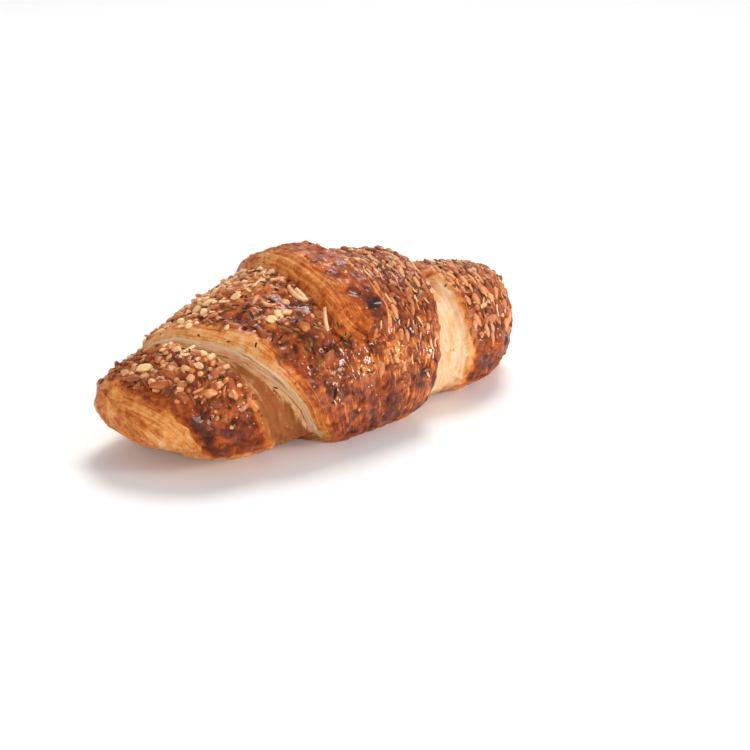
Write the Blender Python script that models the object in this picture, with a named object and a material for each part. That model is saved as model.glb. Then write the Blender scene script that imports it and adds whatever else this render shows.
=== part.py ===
"""A baked cheese croissant, straight and plump, strewn with kernels and herbs.

The dough is a long triangle, rolled up from its broad side. What shows is the core of the roll at
the two ends, the outer turn over it, a middle wrap whose cut edges wind round the roll, and the
point of the triangle, a tongue that comes over the top from behind. Between the outer turn and the
middle wrap the dough has torn open into a shallow pale gap. The kernels on the crust are fused to it.

Units are metres. X runs along the roll, -Y is the front, Z is up, and the flat underside is at z = 0.
Turn angles go round the roll, in degrees: 0 is the top, 90 the front, -90 the back, 180 the underside.
"""

import math
import random

import bmesh
import bpy
import numpy as np
from mathutils import Matrix, Vector, noise
from mathutils.bvhtree import BVHTree

MM = 0.001
LEFT, RIGHT = -1, 1

# The outer turn of the roll: half its length, its half width and its top at the middle.
HALF_LENGTH = 83.25 * MM
ROLL_HALF_WIDTH = 34.2 * MM
ROLL_TOP = 44.2 * MM
BELOW_TRAY = 3.0 * MM
AXIS_SHARE = 0.42

# How the roll's middle line sways: the arms come forward, the tips turn back.
FORWARD_SWAY = {LEFT: 6.6 * MM, RIGHT: 5.4 * MM}
TIP_BACK = {LEFT: 0.0 * MM, RIGHT: 2.8 * MM}
BALANCE = -2.0 * MM

# The two ends: the left one tapers, the right one is fuller.
TIP_HEIGHT = {LEFT: 23.0 * MM, RIGHT: 18.0 * MM}
WIDTH_POWER = {LEFT: 0.30, RIGHT: 0.44}
TOP_POWER = {LEFT: 0.66, RIGHT: 0.31}
UNDERSIDE_POWER = {LEFT: 0.24, RIGHT: 0.28}

# Cross-section: 2 is an ellipse, more is boxier.
UPPER_SQUARENESS = 1.97
LOWER_SQUARENESS = 2.75

# The core shows at the ends, a little thinner than the outer turn.
CORE_SHARE = 0.93
CORE_LIP_WIDTH = 5.0 * MM
CORE_EDGE = 81.0 * MM
CORE_EDGE_WINDS = 15.0 * MM

# The middle wrap: how far it stands out, and its slanting cut edge.
WRAP_RISE = 3.3 * MM
WRAP_CROWN = 3.2 * MM
WRAP_CROWN_REACH = 45.0 * MM
LIP_FOOT = 1.2 * MM
LIP_WIDTH = 6.5 * MM

# The cut edge shows the layers of the dough: share of its width, share of its height.
LIP_STEPS = ((0.0, 0.0), (0.05, 0.32), (0.18, 0.42), (0.26, 0.66), (0.42, 0.75), (0.52, 0.93), (1.0, 1.0))

# The pale gap beside the middle wrap.
GAP_DEPTH = 3.2 * MM
GAP_SLOPE = 5.0 * MM

# The tongue: its place along the roll, and the turn angles between which it lies.
TONGUE_X = -5.8 * MM
TONGUE_HALF_WIDTH = 11.6 * MM
TONGUE_RISE = 4.5 * MM
TONGUE_START, TONGUE_END = -150.0, 61.0
TONGUE_ROUND = 16.0
TONGUE_SPREAD = 9.0 * MM
TONGUE_DRIFT = 9.0 * MM
TONGUE_LIP = 5.0 * MM

# Unevenness of the crust.
LUMP_SIZE = 21.0 * MM
LUMP_HEIGHT = 1.1 * MM
BLISTER_SIZE = 7.0 * MM
BLISTER_HEIGHT = 0.45 * MM

# Kernels strewn on the crust.
KERNEL_COUNT = 106
KERNEL_LENGTH = (4.6 * MM, 8.2 * MM)
KERNEL_WIDTH = (2.6 * MM, 3.4 * MM)
KERNEL_THICKNESS = 2.1 * MM
KERNEL_SUNK = 0.30 * MM
KERNEL_SPACING = 4.2 * MM
KERNEL_SEED = 7

CRUST_COLOUR = (0.47, 0.19, 0.06, 1.0)
CRUST_ROUGHNESS = 0.42


def smooth(low, high, value):
    """0 below low, 1 above high, and an S-curve between them."""
    t = np.clip((value - low) / (high - low), 0.0, 1.0)
    return t * t * (3.0 - 2.0 * t)


def by_side(x, choice):
    """The left or the right end's own value."""
    return np.where(x < 0.0, choice[LEFT], choice[RIGHT])


def turned(turn):
    """The turn angle as a number from -180 to 180."""
    return (np.asarray(turn, float) + 180.0) % 360.0 - 180.0


def edge_line(turn, at_top, front_rate, back_rate, front_end, back_end):
    """Where a wrap's edge lies along the roll: it winds, and closes on itself across the underside."""
    turn = turned(turn)
    front = at_top + front_rate * np.clip(turn, 0.0, front_end)
    back = at_top + back_rate * np.clip(turn, back_end, 0.0)
    own = np.where(turn >= 0.0, front, back)
    across = at_top + front_rate * front_end
    far = at_top + back_rate * back_end
    share = np.where(turn > 0.0, smooth(front_end, 230.0, turn), smooth(front_end, 230.0, turn + 360.0))
    below = across + (far - across) * share
    return np.where((turn > front_end) | (turn < -130.0), below, own)


def core_edge(turn, side):
    """Where the outer turn ends and the core shows."""
    turn = turned(turn)
    onwards = np.where(turn < -100.0, turn + 360.0, turn)
    wound = smooth(20.0, 130.0, onwards) - smooth(150.0, 230.0, onwards)
    return side * (CORE_EDGE - CORE_EDGE_WINDS * wound)


def wrap_edge(turn, side):
    """Where the middle wrap ends."""
    if side == LEFT:
        return edge_line(turn, -57.4 * MM, 0.268 * MM, 0.08 * MM, 133.0, -130.0)
    return edge_line(turn, 38.5 * MM, -0.18 * MM, -0.12 * MM, 133.0, -130.0)


def gap_edge(turn, side):
    """Where the outer turn begins to sink into the pale gap."""
    if side == LEFT:
        return edge_line(turn, -60.0 * MM, 0.13 * MM, 0.04 * MM, 133.0, -130.0)
    return edge_line(turn, 45.4 * MM, -0.045 * MM, -0.08 * MM, 133.0, -130.0)


def fullness(x):
    return np.clip(1.0 - (x / HALF_LENGTH) ** 2, 0.0, 1.0)


def spine(x):
    """How far forward or back the roll's middle line lies."""
    full = fullness(x)
    back = by_side(x, TIP_BACK) * (1.0 - full)
    forward = by_side(x, FORWARD_SWAY) * 4.0 * full * (1.0 - full)
    return BALANCE + back - forward


def on_spine(x, height):
    """The point on the roll's middle line at x, at a height."""
    return (float(x), float(spine(x)), float(height))


def section(x, turn, rise, share=1.0):
    """The point at turn on the cross-section at x, rise outside the outer turn's own outline."""
    full = fullness(x)
    half_width = ROLL_HALF_WIDTH * full ** by_side(x, WIDTH_POWER) * share + rise
    tip = by_side(x, TIP_HEIGHT)
    top = tip + (ROLL_TOP - tip) * full ** by_side(x, TOP_POWER) * share + rise
    underside = tip - (tip + BELOW_TRAY) * full ** by_side(x, UNDERSIDE_POWER) * share - 0.3 * rise
    axis = underside + AXIS_SHARE * (top - underside)
    sine, cosine = np.sin(np.radians(turn)), np.cos(np.radians(turn))
    power = 2.0 / np.where(cosine >= 0.0, UPPER_SQUARENESS, LOWER_SQUARENESS)
    y = spine(x) - half_width * np.sign(sine) * np.abs(sine) ** power
    reach = np.where(cosine >= 0.0, top - axis, axis - underside)
    z = axis + reach * np.sign(cosine) * np.abs(cosine) ** power
    return np.stack(np.broadcast_arrays(x, y, z), axis=-1)


def quarter_round(distance, width):
    """0 at an edge, 1 from width on, rising like a quarter of an ellipse."""
    t = np.clip(distance / width, 0.0, 1.0)
    return np.sqrt(1.0 - (1.0 - t) ** 2)


def gap_sink(x, turn):
    """How far the outer turn sinks in the pale gaps."""
    left = smooth(0.0, GAP_SLOPE, x - gap_edge(turn, LEFT))
    right = smooth(0.0, GAP_SLOPE, gap_edge(turn, RIGHT) - x)
    return -GAP_DEPTH * left * right


def wrap_rise(x):
    return WRAP_RISE + WRAP_CROWN * np.clip(1.0 - (x / WRAP_CROWN_REACH) ** 2, -0.2, 1.0)


def uneven(points, amount):
    """Moves the points outwards and inwards by lumps and blisters."""
    moved = points.copy()
    for index in np.ndindex(points.shape[:-1]):
        place = Vector(points[index])
        lump = noise.noise(place / LUMP_SIZE) * LUMP_HEIGHT
        blister = abs(noise.noise(place / BLISTER_SIZE + Vector((9.0, 0.0, 0.0)))) * BLISTER_HEIGHT
        outwards = Vector((0.0, place.y, place.z - 20.0 * MM))
        if outwards.length > MM:
            moved[index] += np.array(outwards.normalized()) * (lump + blister) * amount
    return moved


def solid_of_rings(name, first, rings, last):
    """A closed mesh through rings of equal count, with a fan to a point at each end."""
    count = len(rings[0])
    points = [tuple(first)] + [tuple(p) for ring in rings for p in ring] + [tuple(last)]
    faces = []
    for j in range(count):
        faces.append((0, 1 + (j + 1) % count, 1 + j))
    for i in range(len(rings) - 1):
        low, high = 1 + i * count, 1 + (i + 1) * count
        for j in range(count):
            after = (j + 1) % count
            faces.append((low + j, low + after, high + after, high + j))
    low = 1 + (len(rings) - 1) * count
    for j in range(count):
        faces.append((len(points) - 1, low + j, low + (j + 1) % count))
    mesh = bpy.data.meshes.new(name)
    mesh.from_pydata(points, [], faces)
    work = bmesh.new()
    work.from_mesh(mesh)
    bmesh.ops.recalc_face_normals(work, faces=work.faces)
    bmesh.ops.triangulate(work, faces=work.faces)
    if work.calc_volume(signed=True) < 0.0:
        bmesh.ops.reverse_faces(work, faces=work.faces)
    work.to_mesh(mesh)
    work.free()
    body = bpy.data.objects.new(name, mesh)
    bpy.context.scene.collection.objects.link(body)
    return body


def turns(count):
    return np.arange(count) * 360.0 / count - 180.0


def eased(count):
    """Places from -1 to 1 that crowd towards both ends."""
    return np.sin(np.linspace(-0.5, 0.5, count) * math.pi)


def tip_places(side, count):
    """Places along the roll from the middle to a tip, where the outline steps in by even turns."""
    width = np.cos(np.linspace(0.0, 0.5, count + 1)[:-1] * math.pi)
    return side * HALF_LENGTH * np.sqrt(1.0 - width ** (1.0 / WIDTH_POWER[side]))


def make_core():
    """The core of the roll, from tip to tip."""
    angle = turns(28)
    places = np.concatenate([tip_places(LEFT, 13)[:0:-1], tip_places(RIGHT, 13)])
    rings = [uneven(section(np.full(28, x), angle, 0.0, CORE_SHARE), 0.4) for x in places]
    tips = [on_spine(side * HALF_LENGTH, TIP_HEIGHT[side]) for side in (LEFT, RIGHT)]
    return solid_of_rings("core", tips[0], rings, tips[1])


def make_outer_turn():
    """The outer turn, with its rounded edges over the core and the pale gaps in it."""
    angle = turns(40)
    low, high = core_edge(angle, LEFT), core_edge(angle, RIGHT)
    lip = np.array([0.0, 0.08, 0.3, 0.62, 1.0]) * CORE_LIP_WIDTH
    rings = [section(low + MM, angle, -3.0 * MM, 0.75)]
    for step in lip:
        x = low + step
        share = CORE_SHARE + (1.0 - CORE_SHARE) * quarter_round(step, CORE_LIP_WIDTH)
        rings.append(section(x, angle, 0.0, share))
    for t in np.linspace(0.0, 1.0, 32)[1:-1]:
        x = low + CORE_LIP_WIDTH + t * (high - low - 2.0 * CORE_LIP_WIDTH)
        rings.append(uneven(section(x, angle, gap_sink(x, angle)), 1.0))
    for step in lip[::-1]:
        x = high - step
        share = CORE_SHARE + (1.0 - CORE_SHARE) * quarter_round(step, CORE_LIP_WIDTH)
        rings.append(section(x, angle, 0.0, share))
    rings.append(section(high - MM, angle, -3.0 * MM, 0.75))
    ends = [on_spine(side * 70.0 * MM, TIP_HEIGHT[side]) for side in (LEFT, RIGHT)]
    return solid_of_rings("outer_turn", ends[0], rings, ends[1])


def make_middle_wrap():
    """The middle wrap, with a slanting cut edge on either side."""
    angle = turns(44)
    low, high = wrap_edge(angle, LEFT), wrap_edge(angle, RIGHT)
    rings = [section(low + 1.5 * MM, angle, -9.0 * MM)]
    for step, height in LIP_STEPS:
        x = low + step * LIP_WIDTH
        rings.append(section(x, angle, -LIP_FOOT + (wrap_rise(x) + LIP_FOOT) * height))
    for t in np.linspace(0.0, 1.0, 17)[1:-1]:
        x = low + LIP_WIDTH + t * (high - low - 2.0 * LIP_WIDTH)
        rings.append(uneven(section(x, angle, wrap_rise(x)), 1.0))
    for step, height in LIP_STEPS[::-1]:
        x = high - step * LIP_WIDTH
        rings.append(section(x, angle, -LIP_FOOT + (wrap_rise(x) + LIP_FOOT) * height))
    rings.append(section(high - 1.5 * MM, angle, -9.0 * MM))
    ends = [on_spine(x, 20.0 * MM) for x in (low.mean(), high.mean())]
    return solid_of_rings("middle_wrap", ends[0], rings, ends[1])


def tongue_middle(turn):
    """Where the tongue's middle lies along the roll: straight in front, drifting to the right behind."""
    return TONGUE_X + TONGUE_DRIFT * smooth(0.0, 70.0, -np.asarray(turn, float))


def tongue_half_width(turn):
    """The tongue's half width at a turn angle: broad behind, with a round end in front."""
    back = 1.0 - smooth(TONGUE_START, 0.0, turn)
    left = np.clip((TONGUE_END - turn) / TONGUE_ROUND, 0.0, 1.0)
    return (TONGUE_HALF_WIDTH + TONGUE_SPREAD * back) * np.sqrt(1.0 - (1.0 - left) ** 2)


def make_tongue():
    """The point of the dough, laid over the wrap from behind: a thick strip with a rounded rim."""
    across = eased(15)
    angle = np.concatenate(
        [np.linspace(TONGUE_START, TONGUE_END - TONGUE_ROUND, 25),
         TONGUE_END - TONGUE_ROUND * (1.0 - np.sin(np.linspace(0.0, 0.5, 7)[1:] * math.pi))]
    )[:-1]
    rings = []
    for turn in angle:
        half = tongue_half_width(turn)
        x = tongue_middle(turn) + across * half
        rim = quarter_round(half - np.abs(across) * half, min(TONGUE_LIP, half))
        start = smooth(TONGUE_START - 5.0, TONGUE_START + 50.0, turn)
        front = quarter_round((TONGUE_END - turn) * 0.8 * MM, TONGUE_LIP)
        rise = wrap_rise(x) - MM + (TONGUE_RISE + MM) * rim * start * front
        outer = uneven(section(x, np.full(len(x), turn), rise), 1.0)
        inner = section(x, np.full(len(x), turn), wrap_rise(x) - 6.0 * MM)
        rings.append(np.concatenate([outer, inner[::-1]]))
    first, last = rings[0].mean(axis=0), section(np.array([TONGUE_X]), np.array([TONGUE_END]), 3.0 * MM)[0]
    return solid_of_rings("tongue", first, rings, last)


def on_tongue(x, turn, margin=0.0):
    inside = TONGUE_START < turn < TONGUE_END
    return inside and abs(x - tongue_middle(turn)) < tongue_half_width(turn) + margin


def strewn(x, turn):
    """How thickly kernels lie at a place on the crust, from 0 to 1."""
    if on_tongue(x, turn, 1.5 * MM):
        return 0.10
    if not core_edge(turn, LEFT) + 4.0 * MM < x < core_edge(turn, RIGHT) - 4.0 * MM:
        return 0.0
    open_left = gap_edge(turn, LEFT) - MM < x < wrap_edge(turn, LEFT) + LIP_WIDTH
    open_right = wrap_edge(turn, RIGHT) - 0.4 * LIP_WIDTH < x < gap_edge(turn, RIGHT) + MM
    if open_left or open_right:
        return 0.0
    front = 1.0 - float(smooth(75.0, 118.0, abs(turn)))
    if wrap_edge(turn, LEFT) < x < TONGUE_X:
        return front * (1.0 - 0.7 * float(smooth(8.0, 42.0, turn)))
    return front


def crust_rise(x, turn):
    """How far the outermost dough at a place stands out from the outer turn."""
    if on_tongue(x, turn):
        return float(wrap_rise(x)) + TONGUE_RISE
    if wrap_edge(turn, LEFT) < x < wrap_edge(turn, RIGHT):
        return float(wrap_rise(x))
    return 0.0


def kernel_places():
    """Where each kernel lies and how it is turned: a seeded draw, the largest kernels first."""
    draw = random.Random(KERNEL_SEED)
    places = []
    while len(places) < KERNEL_COUNT:
        x = draw.uniform(-1.0, 1.0) * HALF_LENGTH
        turn = draw.uniform(-125.0, 125.0)
        chance, yaw, roundness = draw.random(), draw.uniform(0.0, math.pi), draw.random()
        if chance > strewn(x, turn):
            continue
        point = section(np.array(x), np.array(turn), crust_rise(x, turn))
        if any(np.linalg.norm(point - other[2]) < KERNEL_SPACING for other in places):
            continue
        places.append((x, turn, point, yaw, roundness))
    return places


def surface_under(tree, x, turn):
    """The point and normal of the crust on the line from outside towards the roll's axis."""
    outside = Vector(section(np.array(x), np.array(turn), 30.0 * MM))
    inside = Vector(on_spine(x, 0.5 * ROLL_TOP))
    point, normal, _, _ = tree.ray_cast(outside, (inside - outside).normalized())
    return point, normal


def make_kernel(collection, index, point, normal, yaw, roundness):
    """One kernel: a faceted, pointed egg that lies on the crust and is a little sunk in it."""
    shrink = index / KERNEL_COUNT
    length = KERNEL_LENGTH[1] + (KERNEL_LENGTH[0] - KERNEL_LENGTH[1]) * shrink
    width = KERNEL_WIDTH[0] + (KERNEL_WIDTH[1] - KERNEL_WIDTH[0]) * roundness
    work = bmesh.new()
    bmesh.ops.create_uvsphere(work, u_segments=5, v_segments=4, radius=0.5)
    bmesh.ops.rotate(work, verts=work.verts, matrix=Matrix.Rotation(math.pi / 2.0, 3, "Y"))
    bmesh.ops.scale(work, verts=work.verts, vec=(length, width, KERNEL_THICKNESS))
    for vertex in work.verts:
        vertex.co.y *= 1.0 - 0.5 * vertex.co.x / length
    lying = normal.to_track_quat("Z", "Y").to_matrix().to_4x4() @ Matrix.Rotation(yaw, 4, "Z")
    place = Matrix.Translation(point - normal * KERNEL_SUNK)
    bmesh.ops.transform(work, verts=work.verts, matrix=place @ lying)
    mesh = bpy.data.meshes.new("kernel")
    work.to_mesh(mesh)
    work.free()
    collection.objects.link(bpy.data.objects.new("kernel", mesh))


def joined(body, collection, operation="UNION"):
    """Applies one Boolean between body and a collection, and removes the collection's objects."""
    cut = body.modifiers.new("join", "BOOLEAN")
    cut.operation = operation
    cut.operand_type = "COLLECTION"
    cut.collection = collection
    cut.solver = "EXACT"
    graph = bpy.context.evaluated_depsgraph_get()
    mesh = bpy.data.meshes.new_from_object(body.evaluated_get(graph))
    body.modifiers.clear()
    body.data = mesh
    for other in list(collection.objects):
        bpy.data.objects.remove(other)
    bpy.data.collections.remove(collection)


def gathered(name, objects):
    """A collection of its own for the objects."""
    collection = bpy.data.collections.new(name)
    bpy.context.scene.collection.children.link(collection)
    for item in objects:
        for holder in list(item.users_collection):
            holder.objects.unlink(item)
        collection.objects.link(item)
    return collection


def make_tray_cutter():
    """A slab from z = 0 down, which leaves the underside flat."""
    work = bmesh.new()
    bmesh.ops.create_cube(work, size=1.0)
    depth = 20.0 * MM
    bmesh.ops.scale(work, verts=work.verts, vec=(3.0 * HALF_LENGTH, 3.0 * HALF_LENGTH, depth))
    bmesh.ops.translate(work, verts=work.verts, vec=(0.0, 0.0, -0.5 * depth))
    mesh = bpy.data.meshes.new("tray")
    work.to_mesh(mesh)
    work.free()
    return bpy.data.objects.new("tray", mesh)


def crust_material():
    material = bpy.data.materials.new("crust")
    material.use_nodes = True
    shader = material.node_tree.nodes["Principled BSDF"]
    shader.inputs["Base Color"].default_value = CRUST_COLOUR
    shader.inputs["Roughness"].default_value = CRUST_ROUGHNESS
    shader.inputs["Metallic"].default_value = 0.0
    return material


def make_croissant():
    body = make_outer_turn()
    joined(body, gathered("wraps", [make_core(), make_middle_wrap(), make_tongue()]))
    joined(body, gathered("underside", [make_tray_cutter()]), "DIFFERENCE")
    work = bmesh.new()
    work.from_mesh(body.data)
    tree = BVHTree.FromBMesh(work)
    work.free()
    strewing = gathered("strewing", [])
    for index, (x, turn, _, yaw, roundness) in enumerate(kernel_places()):
        point, normal = surface_under(tree, x, turn)
        make_kernel(strewing, index, point, normal, yaw, roundness)
    joined(body, strewing)
    body.name = "croissant"
    body.data.name = "croissant"
    body.data.materials.clear()
    body.data.materials.append(crust_material())
    body.data.shade_smooth()
    body.data.set_sharp_from_angle(angle=math.radians(50.0))


def main():
    for thing in list(bpy.data.objects):
        bpy.data.objects.remove(thing)
    make_croissant()


main()
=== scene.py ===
"""The looks of a baked cheese croissant, strewn with kernels, nibs and herbs.

Units are metres. X runs along the roll, -Y is the front, Z is up, and the underside lies at z = 0.
Turn angles go round the roll, in degrees: 0 is the top, 90 the front, -90 the back, 180 the underside.
"""

import math
import random
from collections import namedtuple

import bpy
import numpy as np
from mathutils import Matrix, Vector, noise


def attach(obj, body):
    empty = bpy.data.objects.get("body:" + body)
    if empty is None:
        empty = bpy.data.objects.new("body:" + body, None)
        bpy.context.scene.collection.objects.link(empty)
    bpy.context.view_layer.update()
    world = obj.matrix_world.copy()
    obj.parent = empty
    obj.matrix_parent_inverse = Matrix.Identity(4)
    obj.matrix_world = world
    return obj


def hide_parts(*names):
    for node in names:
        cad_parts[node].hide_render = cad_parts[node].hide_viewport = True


bl_info = {
    "name": "Cheese croissant",
    "version": (1, 0, 0),
    "blender": (4, 5, 0),
    "location": "3D View > Sidebar > Croissant",
    "description": "Makes a baked cheese croissant with its kernels, nibs and herbs",
    "category": "Add Mesh",
}

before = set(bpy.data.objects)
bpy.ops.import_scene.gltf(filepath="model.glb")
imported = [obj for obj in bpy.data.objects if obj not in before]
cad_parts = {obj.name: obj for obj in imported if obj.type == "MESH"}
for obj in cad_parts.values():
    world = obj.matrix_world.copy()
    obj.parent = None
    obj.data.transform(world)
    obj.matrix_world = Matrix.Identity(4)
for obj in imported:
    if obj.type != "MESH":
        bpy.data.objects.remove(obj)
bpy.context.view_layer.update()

MM = 0.001
LEFT, RIGHT = -1, 1

# The roll's outline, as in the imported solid.
HALF_LENGTH = 83.25 * MM
ROLL_HALF_WIDTH = 34.2 * MM
ROLL_TOP = 44.2 * MM
BELOW_TRAY = 3.0 * MM
AXIS_SHARE = 0.42
FORWARD_SWAY = {LEFT: 6.6 * MM, RIGHT: 5.4 * MM}
TIP_BACK = {LEFT: 0.0, RIGHT: 2.8 * MM}
BALANCE = -2.0 * MM
MIDDLE_HEIGHT = 20.0 * MM
TIP_HEIGHT = {LEFT: 23.0 * MM, RIGHT: 18.0 * MM}
WIDTH_POWER = {LEFT: 0.30, RIGHT: 0.44}
TOP_POWER = {LEFT: 0.66, RIGHT: 0.31}
UNDERSIDE_POWER = {LEFT: 0.24, RIGHT: 0.28}
UPPER_SQUARENESS = 1.97
LOWER_SQUARENESS = 2.75

# The turn angles at which an edge reaches the underside, where it crosses over to close on itself, and each
# edge's place on top and how far it moves along the roll for a degree in front and for a degree behind.
UNDER_FRONT, UNDER_BACK = 133.0, -130.0
WRAP_EDGES = {LEFT: (-57.4 * MM, 0.268 * MM, 0.08 * MM), RIGHT: (38.5 * MM, -0.18 * MM, -0.12 * MM)}
GAP_EDGES = {LEFT: (-60.0 * MM, 0.13 * MM, 0.04 * MM), RIGHT: (45.4 * MM, -0.045 * MM, -0.08 * MM)}

# The core, the middle wrap's cut edge, the pale gaps and the tongue.
CORE_SHARE = 0.93
CORE_LIP_WIDTH = 5.0 * MM
CORE_EDGE = 81.0 * MM
CORE_EDGE_WINDS = 15.0 * MM
WRAP_RISE = 3.3 * MM
WRAP_CROWN = 3.2 * MM
WRAP_CROWN_REACH = 45.0 * MM
LIP_FOOT = 1.2 * MM
LIP_WIDTH = 6.5 * MM
LIP_STEPS = ((0.0, 0.0), (0.05, 0.32), (0.18, 0.42), (0.26, 0.66), (0.42, 0.75), (0.52, 0.93), (1.0, 1.0))
GAP_DEPTH = 3.2 * MM
GAP_SLOPE = 5.0 * MM
TONGUE_X = -5.8 * MM
TONGUE_HALF_WIDTH = 11.6 * MM
TONGUE_RISE = 4.5 * MM
TONGUE_START, TONGUE_END = -150.0, 61.0
TONGUE_ROUND = 16.0
TONGUE_SPREAD = 9.0 * MM
TONGUE_DRIFT = 9.0 * MM
TONGUE_LIP = 5.0 * MM

# The crust's lumps and blisters.
LUMP_SIZE = 21.0 * MM
LUMP_HEIGHT = 1.1 * MM
BLISTER_SIZE = 7.0 * MM
BLISTER_HEIGHT = 0.45 * MM

# How many faces go round each wrap.
SEGMENTS = {"core": 320, "outer_turn": 420, "middle_wrap": 480}

# How baked the dough is at each colour, from 0 to 1: the crust, and torn dough, which browns less.
# Painted shade and painted light are put on the same scale.
CRUST_BAKES = {"cream": 0.0, "tan": 0.16, "gold": 0.34, "orange": 0.5}
CRUST_BAKES |= {"russet": 0.66, "dark": 0.82, "burnt": 1.0}
# The third torn colour is partly painted shade, in the left gap's middle.
TORN_BAKES = {"cream": 0.0, "tan": 0.2, "toffee_and_shade": 0.46, "russet": 1.0}

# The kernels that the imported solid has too.
KERNEL_COUNT = 106
KERNEL_LENGTH = (4.6 * MM, 8.2 * MM)
KERNEL_WIDTH = (2.6 * MM, 3.4 * MM)
KERNEL_THICKNESS = 2.1 * MM
KERNEL_SUNK = 0.30 * MM
KERNEL_SPACING = 4.2 * MM
KERNEL_SEED = 7

# What stands out in front: place along the roll and turn angle, length, width and thickness in mm, yaw, tint.
FRONT_NIBS = (
    (-72.5, 4.0, 5.6, 3.4, 2.72, 1.2, 0.95),
    (-63.1, 18.5, 3.4, 2.6, 2.08, 0.3, 0.95),
    (-64.9, 40.0, 4.0, 3.4, 2.72, 0.2, 0.75),
    (-61.6, 41.0, 3.6, 2.3, 1.84, 0.5, 0.90),
    (-62.9, 72.0, 4.6, 3.8, 3.04, 1.0, 0.60),
    (-74.5, 43.5, 3.2, 2.5, 2.00, 0.4, 0.80),
    (-34.6, 33.5, 4.0, 3.0, 2.40, 1.1, 1.30),
    (-28.6, 33.5, 4.2, 2.3, 1.84, 1.4, 0.72),
    (-27.0, 47.0, 4.4, 3.6, 2.88, 0.6, 0.40),
    (-19.0, 44.0, 4.6, 3.2, 2.56, 0.1, 0.45),
)
FRONT_SHREDS = (
    (-21.6, 25.0, 7.6, 2.2, 1.2, 0.25, 0.70),
    (-19.2, 27.0, 6.0, 1.9, 1.2, 0.10, 0.90),
    (-18.8, 50.0, 10.5, 1.5, 1.2, -0.30, 0.95),
    (-31.5, 22.0, 4.4, 1.4, 1.2, 0.70, 0.55),
)

# How each kind is strewn: its draw's seed, the least room round each one, how thickly it lies on each stretch
# of the crust, the turn angles over which it fades down the sides, and by how much and where it thins out.
Spread = namedtuple("Spread", "seed room share sides thinner")
SPREADS = {
    "kernels": Spread(
        11,
        2.7 * MM,
        {"left_end": 0.03, "left_wrap": 0.04, "right_wrap": 0.50, "right_end": 1.0},
        (70.0, 108.0),
        {"left_wrap": (0.8, 5.0, 35.0), "right_wrap": (0.85, 50.0, 75.0)},
    ),
    "nibs": Spread(
        23,
        2.3 * MM,
        {"left_end": 1.0, "left_wrap": 0.65, "right_wrap": 0.14, "right_end": 0.12},
        (70.0, 108.0),
        {"left_end": (0.8, 52.0, 80.0), "left_wrap": (0.996, -14.0, 4.0)},
    ),
    "shreds": Spread(
        29,
        2.0 * MM,
        {"left_end": 0.2, "left_wrap": 0.7, "right_wrap": 1.0, "right_end": 0.6},
        (55.0, 100.0),
        {"left_wrap": (0.99, -14.0, 8.0)},
    ),
    "flakes": Spread(
        37,
        1.5 * MM,
        {"left_end": 1.0, "left_gap": 0.02, "left_wrap": 0.6, "tongue": 0.02}
        | {"right_wrap": 0.35, "right_gap": 0.01, "right_end": 0.5},
        (70.0, 108.0),
        {},
    ),
    "crumbs": Spread(
        51,
        1.0 * MM,
        {"left_core": 0.08, "left_end": 1.0, "left_gap": 0.05, "left_wrap": 0.6, "tongue": 0.25}
        | {"right_wrap": 0.6, "right_gap": 0.03, "right_end": 1.0},
        (80.0, 116.0),
        {},
    ),
}
ON_THE_LEFT, ON_THE_RIGHT = ("left_end", "left_wrap"), ("right_wrap", "right_end")

# How many places are tried for each kind and how far down the sides, the height above which the left part's
# toppings are golden, and how far a topping's lie is evened out, so that it doesn't follow each crag.
TRIES = 24000
STREWN_TO = 128.0
GOLDEN_ABOVE = 34.0 * MM
EVENING = 1.6

# Each topping piece's model and colour setting, what that colour is multiplied by where it is darkest and
# where it is palest, its own place between them, coat, roughness, scale of browning, and steepest smooth edge.
FINISHES = {
    "pale_kernels": ("kernel", "pale_kernel", (0.78, 0.56, 0.4), (1.12, 1.4, 2.0), 0.5, 0.2, 0.48, 700, 85.0),
    "browned_kernels": ("kernel", "kernel", (0.42, 0.34, 0.48), (1.8, 3.2, 5.2), 0.5, 0.2, 0.5, 600, 85.0),
    "nibs": ("nib", "nib", (0.42, 0.275, 0.35), (1.66, 3.4, 6.8), 0.5, 0.3, 0.48, 500, 32.0),
    "shreds": ("shred", "shred", (0.52, 0.35, 0.36), (1.48, 2.4, 4.6), 0.5, 0.3, 0.45, 500, 60.0),
    "herb_flakes": ("flake", "herb", (0.4, 0.33, 0.47), (2.4, 3.11, 2.67), 0.6, 0.15, 0.55, 900, 60.0),
    "crumbs": ("crumb", "crumb", (0.36, 0.25, 0.38), (1.71, 2.75, 3.46), 0.5, 0.4, 0.42, 900, 60.0),
}

# The studio: each soft light's place, size and power in watts, the sun, and the camera.
SOFT_LIGHTS = {
    "front_light": ((-0.52, -0.70, 0.27), (0.28, 0.28), 3.0),
    "back_light": ((0.35, 0.55, 0.60), (0.4, 0.4), 1.2),
    "right_light": ((0.52, -0.74, 0.27), (0.18, 0.24), 5.0),
}
LIT_POINT = Vector((0.0, 0.0, 0.03))
SKY_STRENGTH = 0.46
SUN_STRENGTH = 1.85
SUN_WIDTH = math.radians(26.0)
SUN_TURN = (math.radians(-18.0), math.radians(28.0), 0.0)
LENS, SENSOR = 79.2, 36.0
CAMERA_AIM = Vector((-2.85 * MM, -2.0 * MM, 26.3 * MM))
AIM_RIGHT, AIM_DOWN = 21.2 * MM, 15.2 * MM


def smooth(low, high, value):
    """0 below low, 1 above high, and an S-curve between them."""
    t = np.clip((value - low) / (high - low), 0.0, 1.0)
    return t * t * (3.0 - 2.0 * t)


def mixed(first, second, share):
    """First where share is 0, second where it is 1."""
    return first + (second - first) * share


def by_side(x, choice):
    """The left or the right end's own value."""
    return np.where(x < 0.0, choice[LEFT], choice[RIGHT])


def turned(turn):
    """The turn angle as a number from -180 to 180."""
    return (np.asarray(turn, float) + 180.0) % 360.0 - 180.0


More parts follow.
